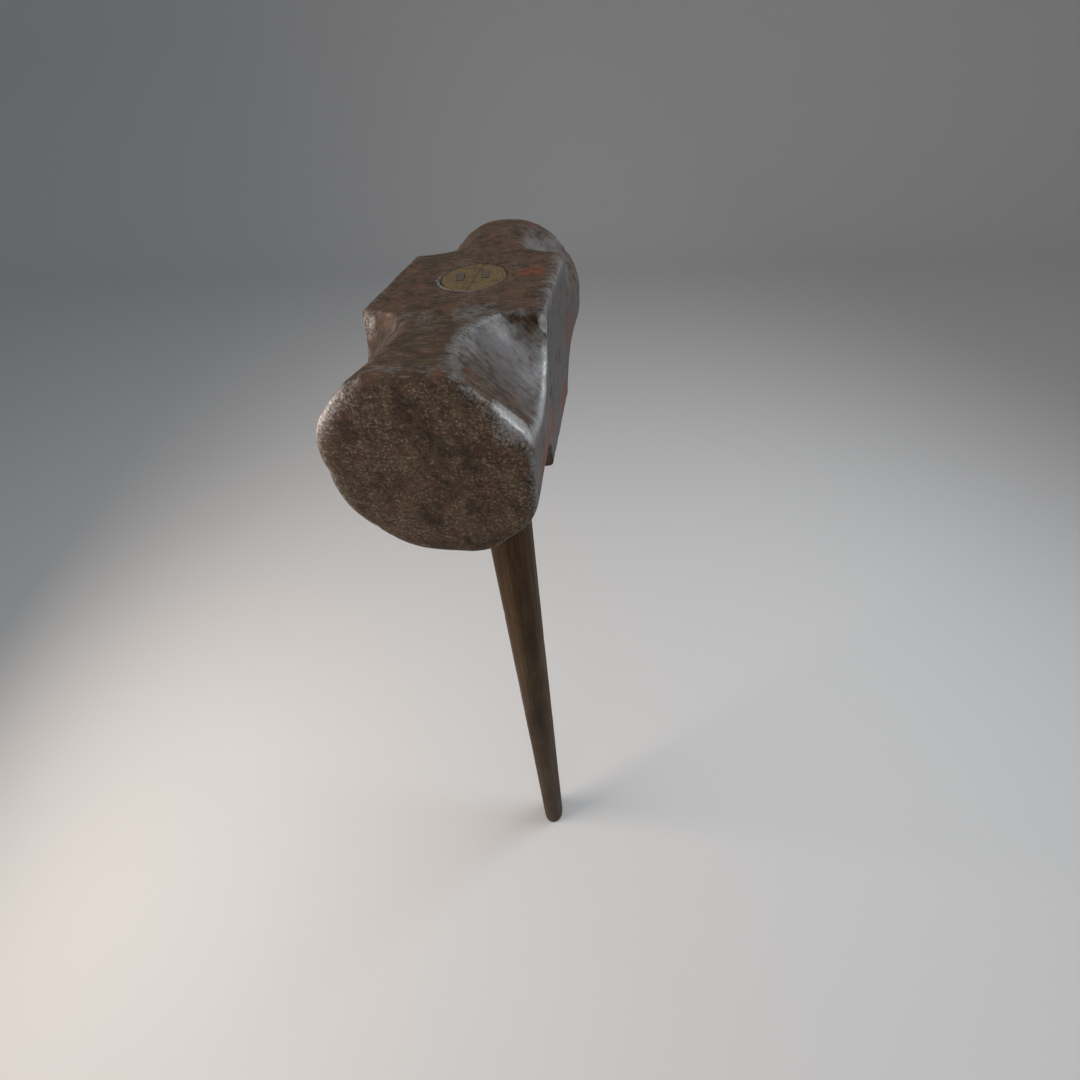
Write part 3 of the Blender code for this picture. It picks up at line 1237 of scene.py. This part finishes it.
@dataclass
class Handle:
    """The long oval handle, shaved by hand, with a rounded butt and its top sawn off in the eye."""

    eye: Eye
    top: float
    butt: tuple[float, float] = (0.0192, 0.0164)
    middle: tuple[float, float] = (0.0186, 0.0160)
    neck: tuple[float, float] = (0.0189, 0.0163)
    butt_round: float = 3.5 * MM
    top_round: float = 0.5 * MM
    gap: float = 0.15 * MM
    slot_gap: float = 0.03 * MM
    stations: int = 280
    cap_rings: int = 16

    def half_sizes(self, height: float) -> np.ndarray:
        """The handle's half-sizes at a height below the head, without the rounding of its butt."""
        share = (height - self.butt_round) / (self.eye.bottom - self.butt_round)
        end = self.neck if share > 0.5 else self.butt
        return np.array(self.middle) + (np.array(end) - self.middle) * (2 * share - 1) ** 2

    def skin(self) -> Skin:
        """The handle's skin, from the middle of its butt to the middle of its top.

        Returns:
            The skin, with its end grain marked.
        """
        rings, end = [], []
        quarter = np.linspace(0, math.pi / 2, 9)
        scales = np.arange(1, self.cap_rings) / self.cap_rings
        flat = self.half_sizes(self.butt_round) - self.butt_round
        for scale in scales:
            rings.append(oval(flat * scale, 0.0, OVAL_SIDES))
            end.append(1.0)
        for turn in quarter:
            inset = self.butt_round * (1 - math.sin(turn))
            height = self.butt_round * (1 - math.cos(turn))
            rings.append(oval(self.half_sizes(self.butt_round) - inset, height, OVAL_SIDES))
            end.append(float(soft_step(0.9, 0.3, np.array(turn))))
        for height in np.linspace(self.butt_round, self.top - self.top_round, self.stations)[1:-1]:
            if height < self.eye.bottom:
                rings.append(oval(self.half_sizes(height), height, OVAL_SIDES))
            else:
                rings.append(self.eye.ring(height, -self.gap, OVAL_SIDES))
            end.append(0.0)
        for turn in quarter:
            inset = self.top_round * (1 - math.cos(turn))
            height = self.top - self.top_round * (1 - math.sin(turn))
            rings.append(self.eye.ring(height, -self.gap - inset, OVAL_SIDES))
            end.append(1.0)
        rim, middle = rings[-1], rings[-1].mean(axis=0)
        for scale in scales[::-1]:
            rings.append(middle + (rim - middle) * scale)
            end.append(1.0)
        skin = Skin(np.array(rings), np.array([(0, 0, 0.0), middle]))
        skin.marks[Mark.END] = np.append(np.repeat(end, OVAL_SIDES), [1.0, 1.0])
        return skin

    def wear(self, skin: Skin) -> None:
        """Shaves, dents and weathers the skin. Nothing is added to it.

        Args:
            skin: the skin.
        """
        points = skin.points
        height = points[:, 2]
        along = points * (1.0, 1.0, 0.05)
        inside = soft_step(self.eye.bottom - 2 * MM, self.eye.bottom, height)
        flats = 0.20 * MM * (0.7 + ripple(points * (1, 1, 0.12), 13 * MM))
        grain = 0.12 * MM * (0.8 + ripple(along, 2.6 * MM, 2, 5.0))
        open_wood = (1 - inside) * (1 - skin.marks[Mark.END]) + TINY
        blows = Dents(120, (2 * MM, 7 * MM), 0.5 * MM, 21).depths(points, open_wood)
        strikes = soft_step(0.70, 0.83, height) * open_wood + TINY
        missed = Dents(26, (2 * MM, 6 * MM), 0.8 * MM, 34).depths(points, strikes)
        sawn = 0.25 * MM * (0.9 + ripple(points, 2.2 * MM, 2, 3.0)) * (height > self.top - 2 * MM)
        outside = (np.clip(flats + grain, 0, None) + blows + missed) * (1 - inside)
        skin.sink(outside + np.clip(sawn, 0, None))

    def build(self, slots: Sequence[WedgeShape]) -> bpy.types.Object:
        """Builds and dresses the handle.

        Args:
            slots: the wedges that it is opened for.

        Returns:
            The handle.
        """
        skin = self.skin()
        self.wear(skin)
        handle = skin.build("long_handle")
        for wedge in slots:
            cut(handle, wedge.solid("slot", self.top, self.slot_gap, 2 * MM))
        return dress(handle, HandleWood(), "handle")


@dataclass
class EyeWedges:
    """The wooden wedge across the eye and the two small iron ones that lock it."""

    eye: Eye
    top: float
    wood: WedgeShape = WedgeShape((-0.0032, -0.0002), 0.040, (0.0026, 0.0008), 0.055)
    iron: Mapping[str, WedgeShape] = field(
        default_factory=lambda: {
            "left": WedgeShape((-0.0032, -0.0058), 0.0105, (0.0032, 0.0009), 0.024, math.radians(12)),
            "right": WedgeShape((-0.0070, 0.0054), 0.0105, (0.0032, 0.0009), 0.024, math.radians(12)),
        }
    )
    gap: float = 0.15 * MM

    @property
    def all(self) -> list[WedgeShape]:
        """Every wedge, in the order that its slot is cut."""
        return [self.wood, *self.iron.values()]

    def build(self) -> list[bpy.types.Object]:
        """Builds and dresses the three wedges.

        Returns:
            The wedges.
        """
        wooden = self.wood.solid("eye_wedge", self.top, 0.0)
        heights = np.linspace(self.eye.bottom, self.eye.top, 25)
        rings = np.array([self.eye.ring(height, -self.gap, OVAL_SIDES) for height in heights])
        cut(wooden, Skin(rings, rings[[0, -1]].mean(axis=1)).build("trimmer"), "INTERSECT")
        made = [dress(wooden, WedgeWood(), "wooden_wedge")]
        for side, shape in self.iron.items():
            wedge = shape.solid(f"iron_wedge_{side}", self.top, 0.0)
            made.append(dress(wedge, WedgeIron(), f"steel_wedge_{side}"))
        return made


# ---------------------------------------------------------------- the studio


@dataclass(frozen=True)
class SoftBox:
    """A square lamp."""

    name: str
    place: tuple[float, float, float]
    side: float
    power: float
    colour: Colour

    def hang(self, target: Vector) -> None:
        """Hangs the lamp, facing a point.

        Args:
            target: the point.
        """
        lamp = bpy.data.lights.new(self.name, "AREA")
        lamp.size, lamp.energy, lamp.color = self.side, self.power, self.colour
        held = bpy.data.objects.new(self.name, lamp)
        held.location = self.place
        held.rotation_euler = (target - held.location).to_track_quat("-Z", "Y").to_euler()
        bpy.context.scene.collection.objects.link(held)


@dataclass
class Studio:
    """A pale sweep of paper, the soft boxes and the camera."""

    head_centre: Vector
    reach: float = 14.0
    behind: float = 3.0
    curve: float = 1.2
    wall: float = 4.0
    sky: Colour = (0.80, 0.82, 0.86)
    sky_strength: float = 0.24
    lens: float = 15.736
    sensor: float = 36.0
    camera_offset: Vector = Vector((0.229696, 0.070384, 0.112863))
    forward: Vector = Vector((-0.6728947, -0.1443949, -0.7255087))
    up: Vector = Vector((-0.7256746, -0.0614836, 0.6852854))
    lamps: tuple[SoftBox, ...] = (
        SoftBox("cool_key", (-0.45, 1.10, 1.65), 0.9, 14.0, (0.88, 0.94, 1.0)),
        SoftBox("warm_side", (0.40, -1.20, 1.00), 0.8, 18.0, (1.0, 0.86, 0.76)),
        SoftBox("front_fill", (1.50, 0.25, 2.20), 1.8, 7.0, (1.0, 0.99, 0.97)),
        SoftBox("top_fill", (-0.50, 0.0, 2.90), 2.2, 7.0, (1.0, 1.0, 1.0)),
    )

    def lay_paper(self) -> bpy.types.Object:
        """Lays the floor, which curves up into a wall behind the tool.

        Returns:
            The paper.
        """
        turns = np.linspace(0, math.pi / 2, 17)
        profile = [(self.reach, 0.0), (0.0, 0.0)]
        for turn in turns:
            rise = self.curve * (1 - math.cos(turn))
            profile.append((-self.behind - self.curve * math.sin(turn), rise))
        profile.append((-self.behind - self.curve, self.wall))
        points = [(x, y, z) for x, z in profile for y in (-self.reach, self.reach)]
        faces = [(2 * i, 2 * i + 1, 2 * i + 3, 2 * i + 2) for i in range(len(profile) - 1)]
        mesh = bpy.data.meshes.new("paper")
        mesh.from_pydata(points, [], faces)
        mesh.flip_normals()
        mesh.shade_smooth()
        mesh.materials.append(StudioPaper().mix())
        paper = bpy.data.objects.new("paper", mesh)
        bpy.context.scene.collection.objects.link(paper)
        return paper

    def light(self) -> None:
        """Hangs the lamps and sets the even light round them."""
        for lamp in self.lamps:
            lamp.hang(self.head_centre)
        world = bpy.data.worlds.new("studio")
        world.use_nodes = True
        background = world.node_tree.nodes["Background"]
        background.inputs["Color"].default_value = (*self.sky, 1.0)
        background.inputs["Strength"].default_value = self.sky_strength
        bpy.context.scene.world = world
        bpy.context.scene.view_settings.view_transform = "Standard"

    def set_camera(self) -> None:
        """Sets the camera close above the head, looking down past it to the butt."""
        camera = bpy.data.cameras.new("camera")
        camera.lens, camera.sensor_width = self.lens, self.sensor
        camera.clip_start = 0.01
        held = bpy.data.objects.new("camera", camera)
        back = -self.forward.normalized()
        right = self.up.cross(back).normalized()
        turn = Matrix((right, back.cross(right), back)).transposed().to_4x4()
        held.matrix_world = Matrix.Translation(self.head_centre + self.camera_offset) @ turn
        bpy.context.scene.collection.objects.link(held)
        bpy.context.scene.camera = held


def main() -> None:
    """Builds the pieces in order, then the studio."""
    logging.basicConfig(level=logging.INFO, format="%(name)s: %(message)s")
    low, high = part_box("head")
    centre, half_height = (low.z + high.z) / 2, Head.block_half[1]
    eye = Eye(centre - half_height, centre + half_height)
    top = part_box("handle")[1].z
    wedges = EyeWedges(eye, top)
    Head(eye, low, high).build()
    Handle(eye, top).build(wedges.all)
    wedges.build()
    studio = Studio(Vector((0, 0, centre)))
    studio.lay_paper()
    studio.light()
    studio.set_camera()


if __name__ == "__main__":
    main()
